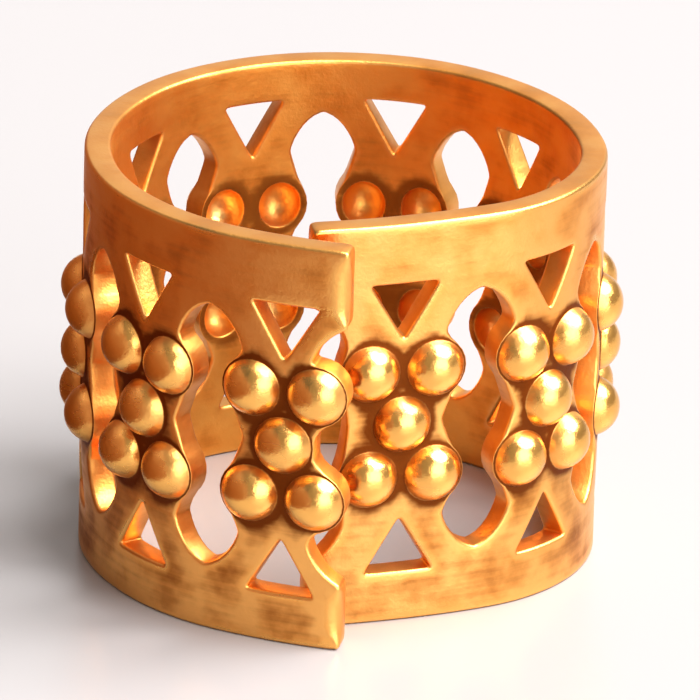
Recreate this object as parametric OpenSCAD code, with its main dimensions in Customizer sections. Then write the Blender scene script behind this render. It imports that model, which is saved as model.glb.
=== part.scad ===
// Hair cuff bead: one pierced and embossed brass strip, rolled into an open ring.
// Millimetres. The origin is the middle of the ring's lower rim, and the ring's axis is +Z.
// The seam faces -Y, where the outer end laps over the inner end without touching it.

/* [Ring] */
// Outside width of the round back, over the plain sheet
ring_w = 9.8; // [9.4:0.1:12]
// Height of the band
band_h = 8; // [7.4:0.1:10]
// Thickness of the sheet
sheet_t = 0.5; // [0.4:0.05:0.8]

/* [Seam] */
// Clear gap between the lapped ends
end_gap = 0.55; // [0.3:0.05:0.9]
// From the first pillar's middle to the cut of the inner end
inner_tail = 1.8; // [1.4:0.1:2.2]
// From the last pillar's middle to the cut of the outer end
outer_tail = 1.2; // [1:0.1:1.5]

/* [Bosses] */
// Domed pillars round the ring
pillars = 10; // [8:1:10]
// Sideways distance from a pillar's middle to its corner domes
boss_x = 0.63; // [0.6:0.01:0.68]
// Height of the corner domes over and under mid-height
boss_z = 1.06; // [1:0.01:1.2]
// Radius of a dome where it leaves the sheet
dome_r = 0.56; // [0.45:0.01:0.58]
// Rise of a dome over the sheet
dome_rise = 0.41; // [0.25:0.01:0.48]
// Radius of the hollow behind a dome
hollow_r = 0.45; // [0.3:0.01:0.46]
// Metal left at the crown of a dome
crown_t = 0.4; // [0.3:0.01:0.5]
// Flat margin round a dome
pad_margin = 0.05; // [0.03:0.01:0.08]

/* [Piercing] */
// Plain rim between the band's edge and the triangles
rim_w = 1; // [0.8:0.05:1.2]
// How much wider the upper rim is at the seam than at the back
rim_drift = 0.5; // [0:0.1:0.6]
// Width of a triangle along the rim
tri_w = 1.32; // [1:0.02:1.5]
// Height of a triangle
tri_h = 1.1; // [0.8:0.02:1.2]
// Plain rim between the band's edge and a window's point
window_rim = 1.3; // [1:0.05:1.5]
// Height from a window's point to its shoulders
arch_h = 0.78; // [0.6:0.02:0.9]
// Half width of a pillar at the window's shoulders
strut_x = 0.85; // [0.75:0.01:0.9]
// Half width of a pillar at mid-height
waist_x = 0.8; // [0.7:0.01:0.9]
// Radius in the corners of the triangles and windows
corner_r = 0.12; // [0.05:0.01:0.15]

/* [Hidden] */
$fn = 32;

ring_r = ring_w / 2;
mid_z = band_h / 2;
pad_r = dome_r + pad_margin;
// How far a cutter runs on past each face, well short of the lapped end
overrun = 0.25 * end_gap;

// Bends of the strip seen from above, from the inner end anticlockwise to the outer end.
// The columns are the sweep in degrees, the radius of the outer face as a share of ring_r, and
// whether the bend's faces stand a hair proud, so that its neighbours' ends tuck into it cleanly.
// The shoulder's share is not used: its radius is worked out so that the ends clear each other.
sweep_index = 0;
share_index = 1;
proud_index = 2;
BENDS = [
    [15, 2.88, 0],  // inner end, nearly flat
    [70, 0, 1],     // shoulder that leads the inner end under the outer one
    [239, 1, 0],    // round back
    [13, 2.08, 1],  // outer end, nearly flat
];
shoulder_index = 1;
back_index = 2;
proud = 0.004;
tuck = 0.08;
// Heading of the strip at its inner end, from +X
first_heading = 11;

function heading(i) = i == 0 ? first_heading : heading(i - 1) + BENDS[i - 1][sweep_index];

// The flat ends move off the round by these amounts, and the shoulder makes up the rest of the step
inner_lift = ring_r * (BENDS[0][share_index] - 1) * (1 - cos(BENDS[0][sweep_index]));
outer_lift = ring_r * (BENDS[3][share_index] - 1) * (1 - cos(BENDS[3][sweep_index]));
shoulder_inset = (sheet_t + end_gap + inner_lift - outer_lift)
    / (cos(BENDS[0][sweep_index]) - cos(BENDS[0][sweep_index] + BENDS[shoulder_index][sweep_index]));

function bend_r(i) = i == shoulder_index ? ring_r - shoulder_inset : ring_r * BENDS[i][share_index];
function side(angle) = [sin(angle), -cos(angle)];
// Each bend's centre is found from its neighbour towards the back, whose centre is the origin
function bend_centre(i) =
    i == back_index ? [0, 0]
    : i < back_index ? bend_centre(i + 1) + (bend_r(i + 1) - bend_r(i)) * side(heading(i + 1))
    : bend_centre(i - 1) + (bend_r(i - 1) - bend_r(i)) * side(heading(i));

function bend_l(i) = bend_r(i) * BENDS[i][sweep_index] * PI / 180;
function start_l(i) = i == 0 ? 0 : start_l(i - 1) + bend_l(i - 1);
strip_l = start_l(len(BENDS));
pitch = (strip_l - inner_tail - outer_tail) / (pillars - 1);

// Bend that holds the point at distance s along the outer face; past an end it is the last bend
function bend_at(s, i = 0) = i == len(BENDS) - 1 || s < start_l(i + 1) ? i : bend_at(s, i + 1);
function heading_at(s) = let (i = bend_at(s)) heading(i) + (s - start_l(i)) / bend_r(i) * 180 / PI;
function point_at(s) = let (i = bend_at(s)) bend_centre(i) + bend_r(i) * side(heading_at(s));

function unit(v) = v / norm(v);
// Points of an outline whose corners are rounded by arcs of radius r, or left sharp where r is 0
CORNER_STEPS = 4;
function rounded(points) = [
    for (i = [0 : len(points) - 1])
        let (
            n = len(points),
            here = [points[i][0], points[i][1]],
            r = points[i][2],
            back = unit([points[(i + n - 1) % n][0], points[(i + n - 1) % n][1]] - here),
            ahead = unit([points[(i + 1) % n][0], points[(i + 1) % n][1]] - here),
            half = acos(back * ahead) / 2,
            middle = here + unit(back + ahead) * r / sin(half),
            from = here + back * r / tan(half) - middle,
            to = here + ahead * r / tan(half) - middle
        )
        if (r == 0) here
        else
            for (k = [0 : CORNER_STEPS])
                let (
                    turn = 180 - 2 * half,
                    a = turn * k / CORNER_STEPS
                )
                middle + (from * sin(turn - a) + to * sin(a)) / sin(turn)
];

// How far down the upper edge of the pattern sits at distance s along the strip, from its mean
function sag(s) = rim_drift * (abs(2 * s / strip_l - 1) - 0.5);

// Puts its children at distance s along the strip, with x along it, y up and z out of the sheet
module on_strip(s) {
    translate(concat(point_at(s), mid_z))
        rotate([0, 0, heading_at(s)])
            rotate([90, 0, 0])
                children();
}

module at_bosses() {
    for (k = [0 : pillars - 1])
        let (middle = inner_tail + k * pitch) {
            on_strip(middle)
                children();
            for (x = [-boss_x, boss_x], z = [-boss_z, boss_z])
                on_strip(middle + x)
                    translate([0, z, 0])
                        children();
        }
}

module bend_plan(i) {
    r = bend_r(i);
    hair = proud * BENDS[i][proud_index];
    tuck_angle = tuck / r * 180 / PI * (1 - BENDS[i][proud_index]);
    from = heading(i) - (i == 0 ? 0 : tuck_angle);
    to = heading(i) + BENDS[i][sweep_index] + tuck_angle;
    steps = ceil((to - from) / 60);
    translate(bend_centre(i))
        intersection() {
            difference() {
                circle(r + hair);
                circle(r - sheet_t - hair);
            }
            polygon(concat(
                [[0, 0]],
                [for (k = [0 : steps]) 2 * r * side(from + (to - from) * k / steps)]
            ));
        }
}

module band() {
    linear_extrude(band_h)
        for (i = [0 : len(BENDS) - 1])
            bend_plan(i);
}

// Ball that meets a plane in a circle of radius r and stands h over it, cut off at a depth under it
module cap(r, h, depth) {
    ball_r = (r * r + h * h) / (2 * h);
    intersection() {
        translate([0, 0, h - ball_r])
            sphere(ball_r);
        // Wider and taller than the ball, so that only its base cuts
        translate([0, 0, -depth])
            cylinder(h = depth + 2 * h, r = 2 * ball_r);
    }
}

// Triangle that stands on its point, with its top edge a rim's width under the band's edge
module triangle_outline(rim) {
    top = mid_z - rim;
    polygon(rounded([
        [-tri_w / 2, top, corner_r],
        [tri_w / 2, top, corner_r],
        [0, top - tri_h, corner_r],
    ]));
}

// Points of an arch, as shares of its half width and of its height, from its shoulder upwards
ARCH = [[0.87, 0.3], [0.65, 0.6], [0.36, 0.85]];

// Right-hand side of a window whose upper point is at tip, from there to its lower point, where the
// next pillar's middle is reach away. It runs in under the pads, which scallop it.
function window_flank(reach, tip) =
    let (
        shoulder = pitch / 2 - strut_x,
        waist = pitch / 2 - waist_x,
        neck = max(0, min(shoulder, reach - boss_x - 0.95 * pad_r)),
        low_tip = window_rim - mid_z
    )
    concat(
        [for (i = [len(ARCH) - 1 : -1 : 0])
            [shoulder * ARCH[i][0], tip - arch_h * (1 - ARCH[i][1]), 0]],
        [
            [shoulder, tip - arch_h, corner_r],
            [neck, boss_z, 0],
            [waist, 0, 0],
            [neck, -boss_z, 0],
            [shoulder, low_tip + arch_h, corner_r],
        ],
        [for (share = ARCH) [shoulder * share[0], low_tip + arch_h * (1 - share[1]), 0]]
    );

// Pads under the domes of a pillar
module pads() {
    circle(pad_r);
    for (x = [-boss_x, boss_x], z = [-boss_z, boss_z])
        translate([x, z])
            circle(pad_r);
}

// Window whose upper point is at tip
module window_outline(tip) {
    low_tip = window_rim - mid_z;
    flank = window_flank(pitch / 2, tip);
    other_flank = [for (i = [len(flank) - 1 : -1 : 0]) [-flank[i][0], flank[i][1], flank[i][2]]];
    difference() {
        polygon(rounded(concat([[0, tip, corner_r]], flank, [[0, low_tip, corner_r]], other_flank)));
        for (x = [-pitch / 2, pitch / 2])
            translate([x, 0])
                pads();
    }
}

// Half a window, which shapes an end whose pillar stands reach away to the right of the cut
module end_outline(reach, tip) {
    low_tip = window_rim - mid_z;
    difference() {
        polygon(rounded(concat(
            [[-overrun, tip, 0], [0, tip, 0]],
            window_flank(reach, tip),
            [[0, low_tip, 0], [-overrun, low_tip, 0]]
        )));
        translate([reach, 0])
            pads();
    }
}

// How far the inner face curves away from a cut's own plane at a distance x from the cut's middle,
// where the bend is tightest
function fall(x) =
    let (inner_r = bend_r(shoulder_index) - sheet_t)
    inner_r - sqrt(inner_r * inner_r - x * x);

// Cuts an outline that reaches half_w to each side through the sheet
module through_sheet(half_w) {
    depth = sheet_t + fall(half_w) + overrun;
    translate([0, 0, -depth])
        linear_extrude(depth + overrun)
            children();
}

module triangles() {
    for (k = [0 : pillars - 1])
        let (middle = inner_tail + k * pitch)
            on_strip(middle)
                through_sheet(tri_w / 2) {
                    triangle_outline(rim_w + sag(middle));
                    mirror([0, 1])
                        triangle_outline(rim_w);
                }
}

module windows() {
    half_w = pitch / 2 - min(strut_x, waist_x);
    tip = mid_z - window_rim;
    for (k = [1 : pillars - 1])
        let (middle = inner_tail + (k - 0.5) * pitch)
            on_strip(middle)
                through_sheet(half_w)
                    window_outline(tip - sag(middle));
    on_strip(0)
        through_sheet(half_w)
            end_outline(inner_tail, tip - sag(0));
    on_strip(strip_l)
        through_sheet(half_w)
            mirror([1, 0])
                end_outline(outer_tail, tip - sag(strip_l));
}

module pierced_band() {
    difference() {
        band();
        windows();
        triangles();
    }
}

// The balls run on under the sheet's face just far enough to meet it where it curves away most
module domes() {
    at_bosses()
        cap(dome_r, dome_rise, 1.2 * fall(dome_r));
}

module hollows() {
    at_bosses()
        translate([0, 0, -sheet_t])
            cap(hollow_r, sheet_t + dome_rise - crown_t, overrun);
}

module filigree_cuff() {
    color("goldenrod")
        difference() {
            union() {
                pierced_band();
                domes();
            }
            hollows();
        }
}

filigree_cuff();
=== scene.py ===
# %% [markdown]
# # A pierced and domed hair cuff bead
# A cuff bead is one strip of thin brass. A press cuts the pattern through it and knocks up the
# domes, and then it is rolled into an open ring, gilt, and squeezed shut round a braid.
# We follow the same order here: cut the flat outline, raise the domes, give the edges their
# soft tumbled rounding, and roll the result up last.
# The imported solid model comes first. It fixes the size and the place of everything below.

# %% Load the frame
import math

import bpy
import numpy as np
from mathutils import Matrix, Vector, kdtree
from mathutils.geometry import delaunay_2d_cdt


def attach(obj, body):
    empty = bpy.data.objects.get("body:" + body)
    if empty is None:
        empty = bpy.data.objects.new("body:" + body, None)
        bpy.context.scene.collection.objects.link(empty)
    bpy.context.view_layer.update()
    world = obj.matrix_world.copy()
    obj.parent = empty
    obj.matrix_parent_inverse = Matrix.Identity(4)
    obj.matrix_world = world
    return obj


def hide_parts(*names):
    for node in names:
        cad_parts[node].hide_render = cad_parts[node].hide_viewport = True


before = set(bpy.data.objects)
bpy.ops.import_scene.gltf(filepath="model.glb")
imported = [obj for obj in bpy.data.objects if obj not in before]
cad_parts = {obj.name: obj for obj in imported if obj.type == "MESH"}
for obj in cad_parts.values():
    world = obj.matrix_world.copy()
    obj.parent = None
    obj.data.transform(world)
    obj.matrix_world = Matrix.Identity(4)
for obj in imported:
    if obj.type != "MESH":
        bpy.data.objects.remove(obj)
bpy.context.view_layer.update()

# %% [markdown]
# ## The strip's sizes
# These are the sizes of the solid model, in millimetres. On the flat strip, s runs along its
# outer face from the inner end to the outer end, z runs up from mid-height, and n stands out of
# the outer face. Working flat is the easy way: circles stay circles, and every pillar is the same.
# A pillar is the upright of metal between two windows, and a boss is where a dome stands.

# %% Sizes
RING_R = 4.9
BAND_H = 8.0
SHEET_T = 0.5
END_GAP = 0.55
INNER_TAIL, OUTER_TAIL = 1.8, 1.2
PILLARS = 10
BOSS_X, BOSS_Z = 0.63, 1.06
DOME_R, DOME_RISE = 0.56, 0.41
HOLLOW_R, CROWN_T = 0.45, 0.4
# The round pad under a dome stands out this far past it
PAD_EDGE = 0.05
PAD_R = DOME_R + PAD_EDGE
RIM_W, RIM_DRIFT = 1.0, 0.5
TRI_W, TRI_H = 1.32, 1.1
WINDOW_RIM, ARCH_H = 1.3, 0.78
STRUT_X, WAIST_X = 0.85, 0.8
MID_Z = BAND_H / 2
print(f"band {BAND_H} mm high, sheet {SHEET_T} mm thick, {PILLARS} pillars")

# %% [markdown]
# ## The roll
# Seen from above, the ring is four arcs in a row: a nearly flat inner end, a tight shoulder that
# leads it in under the outer one, the round back, and a nearly flat outer end. Each arc has the
# same heading as its neighbour where they meet, so the strip has no kinks.
# The shoulder's radius isn't chosen. It follows from the gap that is left between the ends.
# `roll` takes points of the flat strip and gives their places in space, in metres.

# %% Roll the strip
# Turn of each arc in degrees, from the inner end to the outer end
SWEEPS = np.array([15.0, 70.0, 239.0, 13.0])
# Heading of the inner end in degrees
FIRST_HEADING = 11
HEADINGS = FIRST_HEADING + np.concatenate([[0], np.cumsum(SWEEPS)])
# Radius of each flat end, and what it has over the back's, as shares of the back's radius
INNER_FLAT, INNER_EXTRA = 2.88, 1.88
OUTER_FLAT, OUTER_EXTRA = 2.08, 1.08


def cos_of(degrees):
    return math.cos(math.radians(degrees))


def side(heading):
    angle = np.radians(heading)
    return np.stack([np.sin(angle), -np.cos(angle)], axis=-1)


inner_lift = RING_R * INNER_EXTRA * (1 - cos_of(SWEEPS[0]))
outer_lift = RING_R * OUTER_EXTRA * (1 - cos_of(SWEEPS[3]))
tighter = ((SHEET_T + END_GAP + inner_lift - outer_lift)
           / (cos_of(SWEEPS[0]) - cos_of(SWEEPS[0] + SWEEPS[1])))
RADII = np.array([RING_R * INNER_FLAT, RING_R - tighter, RING_R, RING_R * OUTER_FLAT])
STARTS = np.concatenate([[0], np.cumsum(RADII * np.radians(SWEEPS))])
STRIP_L = STARTS[-1]
PITCH = (STRIP_L - INNER_TAIL - OUTER_TAIL) / (PILLARS - 1)
CENTRES = np.zeros((4, 2))
for i in (1, 0):
    CENTRES[i] = CENTRES[i + 1] + (RADII[i + 1] - RADII[i]) * side(HEADINGS[i + 1])
CENTRES[3] = CENTRES[2] + (RADII[2] - RADII[3]) * side(HEADINGS[3])


def roll(s, z, n):
    bend = np.clip(np.searchsorted(STARTS, s, side="right") - 1, 0, 3)
    heading = HEADINGS[bend] + np.degrees((s - STARTS[bend]) / RADII[bend])
    xy = CENTRES[bend] + (RADII[bend] + n)[:, None] * side(heading)
    return np.column_stack([xy, z + MID_Z]) / 1000


print(f"strip {STRIP_L:.2f} mm long, pillars {PITCH:.2f} mm apart")

# %% [markdown]
# ## The windows' edge
# A window is a pointed arch over another, pinched in the middle by the round pads under the
# domes. Its edge is a single distance from the window's middle line at each height, so one short
# function gives it, for the whole windows and for the halves that shape the cut ends.
# The press struck the pattern a little askew: the upper rim is wider at the seam than at the
# back, and `sag` says by how much the pattern's upper edge comes down at each place.

# %% Window edge
LOW_TIP = WINDOW_RIM - MID_Z
# From an arch's point to its shoulder, as shares of its half width and its height
ARCH = np.array([(0, 1), (0.36, 0.85), (0.65, 0.6), (0.87, 0.3), (1, 0)])
# The straight edges run into a pad at this share of its radius, just inside its own edge
NECK = 0.95


def sag(s):
    return RIM_DRIFT * (abs(2 * s / STRIP_L - 1) - 0.5)


def high_tip(s):
    return MID_Z - WINDOW_RIM - sag(s)


def window_edge(z, reach, tip):
    """Half width of a window at each height, with the next pillar's middle `reach` away."""
    shoulder, waist = PITCH / 2 - STRUT_X, PITCH / 2 - WAIST_X
    neck = max(0, min(shoulder, reach - BOSS_X - NECK * PAD_R))
    wide, drop = shoulder * ARCH[:, 0], ARCH_H * (1 - ARCH[:, 1])
    edge = np.interp(z, [*(LOW_TIP + drop), -BOSS_Z, 0, BOSS_Z, *(tip - drop[::-1])],
                     [*wide, neck, waist, neck, *wide[::-1]])
    for x, pad_z in ((0, 0), (BOSS_X, BOSS_Z), (BOSS_X, -BOSS_Z)):
        room = np.sqrt(np.maximum(PAD_R**2 - (z - pad_z) ** 2, 0))
        edge = np.where(room > 0, np.minimum(edge, reach - x - room), edge)
    return edge


print(f"rim over the triangles {RIM_W + sag(0):.2f} mm at the seam,",
      f"{RIM_W + sag(STRIP_L / 2):.2f} at the back")

# %% [markdown]
# ## Every outline
# The strip's own outline comes first, then nine windows, then a triangle over and under each
# pillar. Metal lies to the left of each line as it runs, so later steps know which way is in.

# %% Outlines
EDGE_SAMPLES = 400


def edge_down(reach, tip):
    z = np.linspace(tip, LOW_TIP, EDGE_SAMPLES)
    return np.column_stack([window_edge(z, reach, tip), z])


def window_outline(middle):
    right = edge_down(PITCH / 2, high_tip(middle))
    left = right[::-1] * (-1, 1)
    return np.vstack([right, left[1:-1]]) + (middle, 0)


def triangle_outline(middle, up):
    top = MID_Z - RIM_W - (sag(middle) if up > 0 else 0)
    points = [(-TRI_W / 2, top), (TRI_W / 2, top), (0, top - TRI_H)]
    return [(middle + x, z * up) for x, z in points[:: up]]


def strip_outline():
    inner = edge_down(INNER_TAIL, high_tip(0))
    outer = edge_down(OUTER_TAIL, high_tip(STRIP_L))[::-1] * (-1, 1) + (STRIP_L, 0)
    return np.vstack([(0, -MID_Z), (STRIP_L, -MID_Z), outer, (STRIP_L, MID_Z), (0, MID_Z), inner])


middles = INNER_TAIL + PITCH * np.arange(PILLARS)
outlines = [strip_outline()]
outlines += [window_outline(m + PITCH / 2) for m in middles[:-1]]
outlines += [triangle_outline(m, up) for m in middles for up in (1, -1)]
print(len(outlines), "outlines")

# %% [markdown]
# ## Soft corners
# Stamped corners are never dead sharp. `soften` steps evenly along an outline and averages
# neighbours, which rounds every corner alike, and `thin` then keeps only the points that matter.
# The strip's own corners are tumbled rounder than the pattern's, so they get more passes.

# %% Soften the outlines
STEP = 0.02
STRIP_PASSES, PATTERN_PASSES = 40, 16


def soften(corners, passes):
    corners = np.asarray(corners, float)
    closed = np.vstack([corners, corners[:1]])
    along = np.concatenate([[0], np.cumsum(np.hypot(*np.diff(closed, axis=0).T))])
    t = np.linspace(0, along[-1], int(along[-1] / STEP), endpoint=False)
    line = np.column_stack([np.interp(t, along, closed[:, k]) for k in (0, 1)])
    for _ in range(passes):
        line = (np.roll(line, 1, 0) + 2 * line + np.roll(line, -1, 0)) / 4
    return line


def thin(line, turn=14, longest=0.15):
    """Points where the line has turned by `turn` degrees or run on, and the way into the metal."""
    ahead = np.roll(line, -1, 0) - np.roll(line, 1, 0)
    facing = np.unwrap(np.arctan2(ahead[:, 1], ahead[:, 0]))
    kept = [0]
    for k in range(1, len(line)):
        if (abs(facing[k] - facing[kept[-1]]) > math.radians(turn)
                or (k - kept[-1]) * STEP > longest):
            kept.append(k)
    normal = np.column_stack([-np.sin(facing), np.cos(facing)])
    return line[kept], normal[kept]


loops = [thin(soften(outline, PATTERN_PASSES if k else STRIP_PASSES))
         for k, outline in enumerate(outlines)]
print(sum(len(line) for line, _ in loops), "points are kept")

# %% [markdown]
# ## Soft edges
# Tumbling and gilding leave every edge a little round, and that round edge is what catches the
# light. Each outline point gets an edge radius. It is small beside a dome, whose foot is near,
# and large where the press has rolled over the cut ends of the two rims at the seam.
# A k-d tree quickly finds how far each point is from the nearest dome.

# %% Edge radii
BALL_R = (DOME_R**2 + DOME_RISE**2) / (2 * DOME_RISE)
FOOT_FILLET = 0.035
FOOT_R = math.sqrt((BALL_R + FOOT_FILLET) ** 2 - (BALL_R - DOME_RISE + FOOT_FILLET) ** 2)
EDGE_R, LEAST_R, END_R = 0.07, 0.01, 0.3
# A round edge stays this far from a dome's foot
FOOT_ROOM = 0.012
# Where the ends are rolled over: this near the end, and this clear of a window's tip and of the
# strip's corner. The last value is how far the rolling takes to fade in.
END_NEAR, TIP_ROOM, CORNER_ROOM, END_FADE = 0.02, 0.05, 0.12, 0.25

domes = np.array([(m + x, z) for m in middles
                  for x, z in [(0, 0)] + [(x, z) for x in (-BOSS_X, BOSS_X)
                                          for z in (-BOSS_Z, BOSS_Z)]])


def tree_of(points):
    tree = kdtree.KDTree(len(points))
    for k, (s, z) in enumerate(points):
        tree.insert((s, z, 0), k)
    tree.balance()
    return tree


def gaps(tree, points):
    return np.array([tree.find((s, z, 0))[2] for s, z in points])


dome_tree = tree_of(domes)


def edge_radii(line):
    plain = np.clip(gaps(dome_tree, line) - FOOT_R - FOOT_ROOM, LEAST_R, EDGE_R)
    to_end = np.minimum(line[:, 0], STRIP_L - line[:, 0])
    height = np.abs(line[:, 1])
    tip = np.where(line[:, 1] > 0, high_tip(0), -LOW_TIP)
    clear = np.minimum(height - tip - TIP_ROOM, MID_Z - CORNER_ROOM - height)
    rolled = np.where(to_end < END_NEAR, np.clip(clear / END_FADE, 0, 1), 0)
    return plain + (END_R - EDGE_R) * rolled


print("largest edge radius", round(float(edge_radii(loops[0][0]).max()), 3), "mm")

# %% [markdown]
# ## The borders of the flat metal
# The flat part of a face ends where its round edges start, so each outline is shifted into the
# metal by its edge radii. A ring of points round each dome's foot leaves a clean hole for the
# dome. `in_metal` tells metal from hole by counting how often a line that runs to the right of
# a point crosses the borders.

# %% Borders
DOME_SIDES = 28
# Points tested at a time, so that the tables stay small
AT_ONCE = 2000

ring = 2 * math.pi * np.arange(DOME_SIDES) / DOME_SIDES
circle = np.column_stack([np.cos(ring), np.sin(ring)])
insets = [line + normal * edge_radii(line)[:, None] for line, normal in loops]
borders = insets + [centre + FOOT_R * circle for centre in domes]
border_points = np.vstack(borders)
starts = border_points
ends = np.vstack([np.roll(border, -1, 0) for border in borders])


def in_metal(points):
    """True where a line to the right crosses the borders an odd number of times."""
    inside = []
    for part in np.array_split(points, 1 + len(points) // AT_ONCE):
        s, z = part[:, :1], part[:, 1:]
        across = (starts[:, 1] > z) != (ends[:, 1] > z)
        rise = np.where(ends[:, 1] == starts[:, 1], 1, ends[:, 1] - starts[:, 1])
        at = starts[:, 0] + (z - starts[:, 1]) * (ends[:, 0] - starts[:, 0]) / rise
        inside.append((across & (s < at)).sum(1) % 2 == 1)
    return np.concatenate(inside)


print(len(borders), "borders,", len(border_points), "points")

# %% [markdown]
# ## The flat faces
# Blender's constrained triangulation fills a flat region between outlines, through any extra
# points we scatter in it. The extra points here are an even grid, so the triangles stay small
# enough to bend smoothly. One big polygon would be shorter to write, but it has no points inside
# that could follow the roll.

# %% Fill the faces
GRID = 0.15
# Grid points nearer to a border than this share of a step are left out
CLEAR = 0.6
# The fill keeps only what is inside the borders, and takes points this near as the same
INSIDE_ONLY, SAME = 1, 1e-6

columns = np.arange(0, STRIP_L, GRID)
rows = np.arange(-MID_Z, MID_Z, GRID * math.sqrt(3) / 2)
grid = np.vstack([np.column_stack([columns + (j % 2) * GRID / 2, np.full(len(columns), z)])
                  for j, z in enumerate(rows)])
grid = grid[(gaps(tree_of(border_points), grid) > CLEAR * GRID) & in_metal(grid)]

flat_points = np.vstack([border_points, grid])
edges, first = [], 0
for border in borders:
    count = len(border)
    edges += [(first + k, first + (k + 1) % count) for k in range(count)]
    first += count
made = delaunay_2d_cdt([Vector(p) for p in flat_points], edges, [], INSIDE_ONLY, SAME)
fill = np.array(made[2])
fill = fill[in_metal(flat_points[fill].mean(1))]
print("triangulated", len(made[0]), "of", len(flat_points), "points,", len(fill), "faces")

# %% [markdown]
# ## The domes and their hollows
# The punch that raises a dome leaves a hollow behind it, so each dome is two round profiles on
# the same foot: a ball outside that runs into the sheet by a small fillet, and a hollow inside
# with a rounded mouth. Rings of points are spaced by angle, so they crowd where the slope is
# steep, and the highlight on each dome stays round.

# %% Dome profiles
BALL_RINGS, FILLET_RINGS = 8, 3
MOUTH_FILLET = 0.04


def profile(ball_r, ball_n, fillet_r, fillet_at, fillet_n):
    """Radius and height of each ring, from the crown down to the foot of the fillet."""
    reach = math.atan2(fillet_at, fillet_n - ball_n)
    rings = []
    for k in range(1, BALL_RINGS + 1):
        angle = reach * k / BALL_RINGS
        rings.append((ball_r * math.sin(angle), ball_n + ball_r * math.cos(angle)))
    for k in range(1, FILLET_RINGS + 1):
        angle = reach * (1 - k / FILLET_RINGS)
        rings.append((fillet_at - fillet_r * math.sin(angle),
                      fillet_n - fillet_r * math.cos(angle)))
    return rings


outer_rings = profile(BALL_R, DOME_RISE - BALL_R, FOOT_FILLET, FOOT_R, FOOT_FILLET)
hollow_rise = SHEET_T + DOME_RISE - CROWN_T
hollow_ball = (HOLLOW_R**2 + hollow_rise**2) / (2 * hollow_rise)
mouth_r = math.sqrt((hollow_ball + MOUTH_FILLET) ** 2
                    - (hollow_rise - hollow_ball - MOUTH_FILLET) ** 2)
inner_rings = profile(hollow_ball, hollow_rise - hollow_ball - SHEET_T, MOUTH_FILLET, mouth_r,
                      MOUTH_FILLET - SHEET_T)
print("dome foot radius", round(FOOT_R, 3), "mm, hollow mouth radius", round(mouth_r, 3), "mm")

# %% [markdown]
# ## The two faces
# The outer face and the inner face share one triangulation. Each point also carries two values
# for the gilding: painted shade, high in the fold round a dome's foot, and rubbing with a painted
# highlight, high on edges and on the domes' crowns, where hands and hair have polished the metal.
# The painted shade is a little raised on the lower part of the outer face too, to make it darker
# towards the bottom.

# %% Two faces
FACE, LINING, CUT = 0, 1, 2
# How far the painted shade spreads from a dome's foot, and the rubbing with its painted highlight
# from an edge
FOLD_SHADE_REACH, RUB_REACH = 0.1, 0.07
LINING_FOLD_SHADE = 0.6
EDGE_RUB_AND_HIGHLIGHT, LINING_RUB_AND_HIGHLIGHT = 0.7, 0.4
# The lower part's extra painted shade is full up to mid-height, and gone this far above it
LOW_SHADE, CLEAN_ABOVE = 0.2, 2.2

places = [np.column_stack([flat_points, np.zeros(len(flat_points))]),
          np.column_stack([flat_points, np.full(len(flat_points), -SHEET_T)])]
edge_gap = gaps(tree_of(np.vstack(insets)), flat_points)
# Painted shade: darker in the fold round each dome's foot, on both faces
flat_fold_shade = np.exp(-(gaps(dome_tree, flat_points) - FOOT_R) / FOLD_SHADE_REACH)
# Painted shade: the outer face gets darker towards the bottom
low_down = np.clip(1 - flat_points[:, 1] / CLEAN_ABOVE, 0, 1)
fold_shades = [flat_fold_shade + LOW_SHADE * low_down, LINING_FOLD_SHADE * flat_fold_shade]
# Rubbing near the edges, paler and smoother, with a painted highlight on it
rubs_and_highlights = [EDGE_RUB_AND_HIGHLIGHT * np.exp(-edge_gap / RUB_REACH), LINING_RUB_AND_HIGHLIGHT * np.exp(-edge_gap / RUB_REACH)]
faces, looks = [], []
lower = len(flat_points)


def add_faces(new, look):
    faces.extend(new)
    looks.extend([look] * len(new))


def add_points(points, fold_shade, rub_and_highlight):
    start = sum(len(p) for p in places)
    places.append(np.asarray(points, float))
    fold_shades.append(np.full(len(points), fold_shade, float))
    rubs_and_highlights.append(np.full(len(points), rub_and_highlight, float))
    return start


add_faces([tuple(f) for f in fill.tolist()], FACE)
add_faces([tuple(f) for f in (lower + fill[:, ::-1]).tolist()], LINING)
print(len(faces), "faces on the two flat sides")

# %% [markdown]
# ## The cut edges
# Between the two faces, each outline gets a quarter round, a short wall and a second quarter
# round. A Bevel modifier could round them too, but we know the radius that we want at every
# point, so we place the rounds ourselves.

# %% Cut edges
EDGE_STEPS = 4
# How much of the rubbing and its painted highlight is lost down the upper round
EDGE_FALL = 0.4
# What the wall and the lower round get: some painted shade, and some rubbing with a painted
# highlight
WALL_SHADE, WALL_RUB_AND_HIGHLIGHT = 0.3, 0.3

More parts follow.
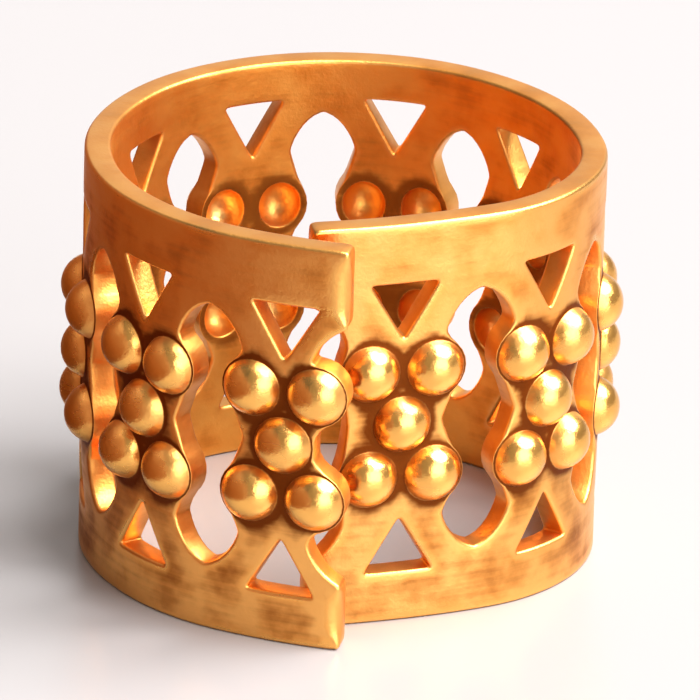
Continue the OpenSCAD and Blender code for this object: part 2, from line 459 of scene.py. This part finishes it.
first = 0
for line, normal in loops:
    count = len(line)
    top_r = edge_radii(line)
    low_r = np.minimum(top_r, EDGE_R)
    levels = [first]
    for k in range(1, EDGE_STEPS + 1):
        angle = 0.5 * math.pi * k / EDGE_STEPS
        at = line + normal * (top_r * (1 - math.sin(angle)))[:, None]
        levels.append(add_points(np.column_stack([at, -top_r * (1 - math.cos(angle))]),
                                 0, EDGE_RUB_AND_HIGHLIGHT - EDGE_FALL * (k / EDGE_STEPS) ** 3))
    for k in range(EDGE_STEPS, 0, -1):
        angle = 0.5 * math.pi * k / EDGE_STEPS
        at = line + normal * (low_r * (1 - math.sin(angle)))[:, None]
        levels.append(add_points(np.column_stack([at, low_r * (1 - math.cos(angle)) - SHEET_T]),
                                 WALL_SHADE, WALL_RUB_AND_HIGHLIGHT))
    levels.append(lower + first)
    for upper_at, lower_at in zip(levels, levels[1:]):
        add_faces([(upper_at + k, lower_at + k, lower_at + (k + 1) % count,
                    upper_at + (k + 1) % count) for k in range(count)], CUT)
    first += count
print(looks.count(CUT), "faces on the cut edges")

# %% [markdown]
# ## Fifty domes
# Each dome is a fan of triangles at the crown and bands of quads down to its foot, where it
# takes up the ring of points that the flat face left for it. The hollow behind it is the same,
# turned over. Balls joined on by a Boolean modifier would be quicker to write, but they would
# meet the sheet without the small fillet.

# %% Raise the domes
# Crowns and hollows are rubbed and get a painted highlight; hollows also get a little painted
# shade
CROWN_RUB_AND_HIGHLIGHT, CROWN_FALL = 0.95, 0.7
HOLLOW_SHADE, HOLLOW_RUB_AND_HIGHLIGHT = 0.1, 0.6

for centre in domes:
    for base, rings, crown, look in ((first, outer_rings, DOME_RISE, FACE),
                                     (lower + first, inner_rings, DOME_RISE - CROWN_T, LINING)):
        raised = look == FACE
        least, most = (0, CROWN_RUB_AND_HIGHLIGHT) if raised else (HOLLOW_SHADE, HOLLOW_RUB_AND_HIGHLIGHT)
        top = add_points([(*centre, crown)], least, most)
        inside = []
        for k, (r, n) in enumerate(rings[:-1] if raised else rings):
            # Painted shade: the lowest ring of the ball and the fillet get darker towards the fold
            fold_shade = max(least, (k + 2 - BALL_RINGS) / (FILLET_RINGS + 1))
            rub_and_highlight = max(0, most - CROWN_FALL * (k / BALL_RINGS) ** 3) if raised else most
            band = np.column_stack([centre + r * circle, np.full(DOME_SIDES, n)])
            inside.append(add_points(band, fold_shade, rub_and_highlight))
        inside.append(base)
        for k in range(DOME_SIDES):
            after = (k + 1) % DOME_SIDES
            fan = [(top, inside[0] + k, inside[0] + after)]
            fan += [(a + k, b + k, b + after, a + after) for a, b in zip(inside, inside[1:])]
            add_faces([f if raised else f[::-1] for f in fan], look)
    first += DOME_SIDES
print(len(domes), "domes,", len(faces), "faces in all")

# %% [markdown]
# ## The finished bead
# Sheet that has been rolled by hand is never quite even, so a slow wave of a few thousandths of
# a millimetre goes over it before the roll. It is shifted inwards, so that the bead stays within
# the solid model's size. The Weighted Normal modifier lets the big faces decide the shading, so
# the flat metal looks flat right up to its round edges.

# %% Make the bead
WAVE = 0.004

s, z, n = np.vstack(places).T
wave = WAVE * (np.sin(2.1 * s + 1.3 * z) + np.sin(1.2 * s - 2.3 * z + 1.0) - 1)
mesh = bpy.data.meshes.new("cuff")
mesh.from_pydata(roll(s, z, n + wave), [], faces)
mesh.polygons.foreach_set("material_index", looks)
for name, values in (("fold_shade", fold_shades), ("rub_and_highlight", rubs_and_highlights)):
    layer = mesh.attributes.new(name, "FLOAT", "POINT")
    layer.data.foreach_set("value", np.clip(np.concatenate(values), 0, 1))
mesh.shade_smooth()
mesh.validate(verbose=True)
cuff = bpy.data.objects.new("cuff", mesh)
bpy.context.scene.collection.objects.link(cuff)
even = cuff.modifiers.new("even shading", "WEIGHTED_NORMAL")
even.mode, even.weight = "FACE_AREA", 50
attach(cuff, "root")
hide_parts("filigree_cuff")
print(len(mesh.vertices), "points,", len(mesh.polygons), "faces,",
      sum(len(p.vertices) - 2 for p in mesh.polygons), "triangles")

# %% [markdown]
# ## Small tools for nodes
# A material is a tree of nodes. Adding each node by hand takes four or five lines, so `add_node`
# makes one, sets it up, and links or fills its inputs. `calc`, `noise` and `ramp` are the kinds
# that come back again and again, and `new_group` starts a group that several materials share.

# %% Node tools
MM = 1000


def add_node(tree, kind, inputs=None, **settings):
    made = tree.nodes.new("ShaderNode" + kind)
    for key, value in settings.items():
        setattr(made, key, value)
    for key, value in (inputs or {}).items():
        if isinstance(value, bpy.types.NodeSocket):
            tree.links.new(value, made.inputs[key])
        else:
            made.inputs[key].default_value = value
    return made


def calc(tree, operation, *values, clamp=False):
    return add_node(tree, "Math", dict(enumerate(values)), operation=operation,
                    use_clamp=clamp).outputs[0]


def noise(tree, coordinates, per_mm, detail):
    return add_node(tree, "TexNoise", {"Vector": coordinates, "Scale": per_mm * MM,
                                       "Detail": detail}).outputs["Fac"]


def ramp(tree, value, low, high, kind="SMOOTHSTEP"):
    return add_node(tree, "MapRange", {"Value": value, "From Min": low, "From Max": high},
                    interpolation_type=kind).outputs["Result"]


def new_group(name, inputs, outputs):
    group = bpy.data.node_groups.new(name, "ShaderNodeTree")
    for label, value in inputs.items():
        socket = group.interface.new_socket(label, in_out="INPUT", socket_type="NodeSocketFloat")
        socket.default_value = value
    for label in outputs:
        group.interface.new_socket(label, in_out="OUTPUT", socket_type="NodeSocketFloat")
    given, out = (group.nodes.new("NodeGroup" + end) for end in ("Input", "Output"))
    return group, given.outputs, out.inputs


print("tools: add_node, calc, noise, ramp and new_group")

# %% [markdown]
# ## Node groups for the surface
# Three effects are shared by every surface of the bead, so each is a node group that is built
# once. `cast grain` gives the satin skin: fine tooth, shallow dimples and the faint drawing lines
# that run along the strip. The second says where the gilding is rubbed and paints a highlight
# there, and the third says where brown tarnish has stayed and paints shade in the folds and low
# down. They give out masks and heights, and the materials decide what to do with them.

# %% Surface groups
# The drawing lines are noise that is stretched along the band, so they change fast only in height
STRETCH = (0.06, 0.06, 1)
# How strongly the mottling breaks up the rubbed places
BREAK_UP = 1.4
# The sum that makes the tarnish and the painted shade starts here, and each effect adds its own
# share to it
TARNISH_AND_SHADE_START = -0.67
TARNISH_AND_SHADE_WEIGHTS = {"Mottle": 1.1, "Streaks": 0.45, "Fold shade": 0.9, "Rub and highlight": -0.4}

grain, given, out = new_group("cast grain", {"Dimples": 0.6, "Tooth": 0.3, "Lines": 0.2},
                              ["Height", "Mottle", "Streaks"])
place = add_node(grain, "TexCoord").outputs["Object"]
along = add_node(grain, "Mapping", {"Vector": place, "Scale": STRETCH}).outputs["Vector"]
dimples = noise(grain, place, 2.2, 2)
streaks = noise(grain, along, 7, 4)
height = calc(grain, "MULTIPLY", dimples, given["Dimples"])
height = calc(grain, "MULTIPLY_ADD", noise(grain, place, 16, 3), given["Tooth"], height)
height = calc(grain, "MULTIPLY_ADD", streaks, given["Lines"], height)
grain.links.new(height, out["Height"])
grain.links.new(noise(grain, place, 1.1, 4), out["Mottle"])
grain.links.new(streaks, out["Streaks"])

# Rubbed places: wear, with a painted highlight in the paler colour it gives
wear_and_highlight, given, out = new_group("hand wear", {"Rub and highlight": 0, "Mottle": 0.5, "Amount": 1}, ["Mask"])
uneven = calc(wear_and_highlight, "SUBTRACT", given["Mottle"], 0.5)
rubbed = ramp(wear_and_highlight, calc(wear_and_highlight, "MULTIPLY_ADD", uneven, BREAK_UP, given["Rub and highlight"]), 0.3, 1.05)
wear_and_highlight.links.new(calc(wear_and_highlight, "MULTIPLY", rubbed, given["Amount"], clamp=True), out["Mask"])

# Tarnish from the mottling and drawing lines, plus painted shade in the folds and low down
tarnish_and_shade, given, out = new_group("tarnish_and_shade", {"Fold shade": 0, "Rub and highlight": 0, "Mottle": 0.5, "Streaks": 0.5,
                                          "Amount": 1}, ["Mask"])
stain_and_shade = TARNISH_AND_SHADE_START
for label, weight in TARNISH_AND_SHADE_WEIGHTS.items():
    stain_and_shade = calc(tarnish_and_shade, "MULTIPLY_ADD", given[label], weight, stain_and_shade)
stain_and_shade = ramp(tarnish_and_shade, stain_and_shade, 0.05, 0.75)
tarnish_and_shade.links.new(calc(tarnish_and_shade, "MULTIPLY", stain_and_shade, given["Amount"], clamp=True), out["Mask"])
print("groups:", ", ".join(group.name for group in (grain, wear_and_highlight, tarnish_and_shade)))

# %% [markdown]
# ## Three finishes
# The outer face is rubbed brightest, the lining least, and the cut edges keep the least tarnish
# and painted shade. `body` and `warm` are the gilding's two tones, `bright` is where it is rubbed
# and a highlight is painted, and the dark colour is the tarnish and the painted shade. Two amounts
# say how much of the tarnish with its shade and of the rubbing with its highlight shows.

# %% Finishes
FINISHES = {
    "gilt_face": {"body": (0.91, 0.45, 0.12), "warm": (0.86, 0.35, 0.07),
                  "bright": (0.98, 0.52, 0.13), "stain_and_shade": (0.18, 0.042, 0.006),
                  "rough": 0.37, "tarnish_and_shade": 1.0, "wear_and_highlight": 0.9},
    "gilt_lining": {"body": (0.90, 0.41, 0.08), "warm": (0.84, 0.31, 0.045),
                    "bright": (0.98, 0.64, 0.25), "stain_and_shade": (0.30, 0.09, 0.012),
                    "rough": 0.40, "tarnish_and_shade": 1.0, "wear_and_highlight": 0.6},
    "gilt_cut": {"body": (0.90, 0.42, 0.10), "warm": (0.84, 0.33, 0.06),
                 "bright": (0.96, 0.55, 0.17), "stain_and_shade": (0.34, 0.12, 0.02),
                 "rough": 0.38, "tarnish_and_shade": 0.6, "wear_and_highlight": 0.7},
}
# What the drawing lines, the tarnish with its painted shade, and the rubbing add to the roughness
LINE_ROUGH, STAIN_AND_SHADE_ROUGH, RUB_ROUGH = 0.16, 0.2, -0.16
# The mottling at which `body` starts to turn into `warm`, and at which it has
DRIFT = (0.4, 0.65)
RELIEF = 0.018 / MM
print("finishes:", ", ".join(FINISHES))

# %% [markdown]
# ## The gilding
# Gilt brass is metal through and through, so nearly all its colour is reflected light. One
# reflection comes back yellow orange, and light that has bounced about inside the ring comes
# back deep orange brown: the base colour alone gives both. Painting the inside darker would be
# another way, but it would be wrong as soon as the light or the view changed.

# %% Gild the bead
def use(tree, group, inputs):
    return add_node(tree, "Group", inputs, node_tree=group).outputs


def blend(tree, amount, below, above):
    layers = [value if isinstance(value, bpy.types.NodeSocket) else (*value, 1)
              for value in (below, above)]
    return add_node(tree, "Mix", {0: amount, 6: layers[0], 7: layers[1]},
                    data_type="RGBA").outputs[2]


for name, finish in FINISHES.items():
    material = bpy.data.materials.new(name)
    material.use_nodes = True
    tree = material.node_tree
    shader = tree.nodes["Principled BSDF"]
    shader.inputs["Metallic"].default_value = 1
    fold_shade = add_node(tree, "Attribute", attribute_name="fold_shade").outputs["Fac"]
    rub_and_highlight = add_node(tree, "Attribute", attribute_name="rub_and_highlight").outputs["Fac"]
    skin = use(tree, grain, {})
    worn_and_highlit = use(tree, wear_and_highlight, {"Rub and highlight": rub_and_highlight, "Mottle": skin["Mottle"], "Amount": finish["wear_and_highlight"]})
    stained_and_shaded = use(tree, tarnish_and_shade, {"Fold shade": fold_shade, "Rub and highlight": rub_and_highlight, "Mottle": skin["Mottle"],
                                 "Streaks": skin["Streaks"], "Amount": finish["tarnish_and_shade"]})
    drift = ramp(tree, skin["Mottle"], *DRIFT, "LINEAR")
    colour = blend(tree, drift, finish["body"], finish["warm"])
    # Rubbed places turn paler: wear, with a painted highlight
    colour = blend(tree, worn_and_highlit["Mask"], colour, finish["bright"])
    # Last, the tarnish and the painted shade darken the colour
    colour = blend(tree, stained_and_shaded["Mask"], colour, finish["stain_and_shade"])
    tree.links.new(colour, shader.inputs["Base Color"])
    rough = finish["rough"] - LINE_ROUGH / 2
    for mask, change in ((skin["Streaks"], LINE_ROUGH), (stained_and_shaded["Mask"], STAIN_AND_SHADE_ROUGH),
                         (worn_and_highlit["Mask"], RUB_ROUGH)):
        rough = calc(tree, "MULTIPLY_ADD", mask, change, rough)
    tree.links.new(rough, shader.inputs["Roughness"])
    bump = add_node(tree, "Bump", {"Height": skin["Height"], "Strength": 1, "Distance": RELIEF})
    tree.links.new(bump.outputs["Normal"], shader.inputs["Normal"])
    mesh.materials.append(material)
print("materials on the bead:", len(mesh.materials))

# %% [markdown]
# ## The table and two cards
# The bead stands on a plain pale table. Polished metal shows mostly what is round it, so two
# cards stand at the left, a low brown one close by and a tall dark one farther off, and keep
# that side of the bead deep in tone. They are there for reflections alone: the camera doesn't
# see them, they cast no shadow, and from behind they are clear.

# %% Table and cards
def add_sheet(name, corners, colour, rough):
    sheet = bpy.data.meshes.new(name)
    sheet.from_pydata(corners, [], [(0, 1, 2, 3)])
    piece = bpy.data.objects.new(name, sheet)
    bpy.context.scene.collection.objects.link(piece)
    paint = bpy.data.materials.new(name + "_paint")
    paint.use_nodes = True
    shader = paint.node_tree.nodes["Principled BSDF"]
    shader.inputs["Base Color"].default_value = (*colour, 1)
    shader.inputs["Roughness"].default_value = rough
    sheet.materials.append(paint)
    return piece


def upright(x, y_from, y_to, height):
    return [(x, y_from, 0), (x, y_to, 0), (x, y_to, height), (x, y_from, height)]


TABLE_R = 1.5
add_sheet("table", [(-TABLE_R, -TABLE_R, 0), (TABLE_R, -TABLE_R, 0), (TABLE_R, TABLE_R, 0),
                    (-TABLE_R, TABLE_R, 0)], colour=(0.33, 0.308, 0.293), rough=0.3)
brown = add_sheet("brown_card", upright(-0.0073, -0.024, 0.010, height=0.011),
                  colour=(0.14, 0.045, 0.010), rough=0.5)
dark = add_sheet("dark_card", upright(-0.16, -0.2, 0.2, height=0.4),
                 colour=(0.02, 0.018, 0.016), rough=0.8)
for card in (brown, dark):
    card.visible_camera = card.visible_diffuse = card.visible_shadow = False
    tree = card.data.materials[0].node_tree
    behind = add_node(tree, "NewGeometry").outputs["Backfacing"]
    clear = add_node(tree, "BsdfTransparent").outputs["BSDF"]
    sides = add_node(tree, "MixShader", {0: behind, 2: clear,
                                         1: tree.nodes["Principled BSDF"].outputs["BSDF"]})
    tree.links.new(sides.outputs["Shader"], tree.nodes["Material Output"].inputs["Surface"])
print("a table and two cards")

# %% [markdown]
# ## The light
# One large soft light stands high up to the right and gives each dome its highlight. A low panel
# at the right brightens the walls that face it, a weak light behind lifts the rims, and a pale
# room fills the rest.

# %% Lights
BEAD_MIDDLE = (0, 0, 0.004)
ROOM_COLOUR, ROOM_STRENGTH = (1.0, 0.93, 0.85, 1), 0.38
PANEL_COLOUR = (0.98, 1, 1.06)
# Place and width in metres, and power in watts
PANELS = {"key": ((0.26, -0.02, 0.44), 0.5, 9.5),
          "side": ((0.28, -0.40, 0.16), 0.5, 2.6),
          "back": ((0.05, 0.60, 0.30), 0.8, 0.6)}

world = bpy.data.worlds.new("studio")
world.use_nodes = True
world.node_tree.nodes["Background"].inputs["Color"].default_value = ROOM_COLOUR
world.node_tree.nodes["Background"].inputs["Strength"].default_value = ROOM_STRENGTH
bpy.context.scene.world = world

for name, (stand, size, power) in PANELS.items():
    light = bpy.data.lights.new(name, "AREA")
    light.shape, light.size, light.energy = "DISK", size, power
    light.color = PANEL_COLOUR
    piece = bpy.data.objects.new(name, light)
    piece.location = stand
    aim = Vector(BEAD_MIDDLE) - Vector(stand)
    piece.rotation_euler = aim.to_track_quat("-Z", "Y").to_euler()
    bpy.context.scene.collection.objects.link(piece)
print("lights:", ", ".join(PANELS))

# %% [markdown]
# ## The camera
# The camera stands in front and looks down by 23 degrees, with a long lens, and leans by a
# degree and a half as the photo does. Its place, lens and lean were fitted to the rims, seam and
# domes in the photo, so that the two pictures can be laid over each other.

# %% Camera
FOCAL_PX, PHOTO_PX, SENSOR_MM = 10819, 700, 36
LEAN = 0.0274

camera = bpy.data.cameras.new("camera")
camera.sensor_width = SENSOR_MM
camera.lens = FOCAL_PX / PHOTO_PX * SENSOR_MM
camera.clip_start, camera.clip_end = 0.01, 10
eye = Vector((0, -0.1876, 0.0839))
aim = Vector((0.00017, 0, 0.00388)) - eye
viewer = bpy.data.objects.new("camera", camera)
viewer.matrix_world = (Matrix.Translation(eye)
                       @ aim.to_track_quat("-Z", "Y").to_matrix().to_4x4()
                       @ Matrix.Rotation(LEAN, 4, "Z"))
bpy.context.scene.collection.objects.link(viewer)
bpy.context.scene.camera = viewer
bpy.context.scene.view_settings.view_transform = "Standard"
print(f"camera {aim.length * MM:.0f} mm from the bead, lens {camera.lens:.0f} mm")
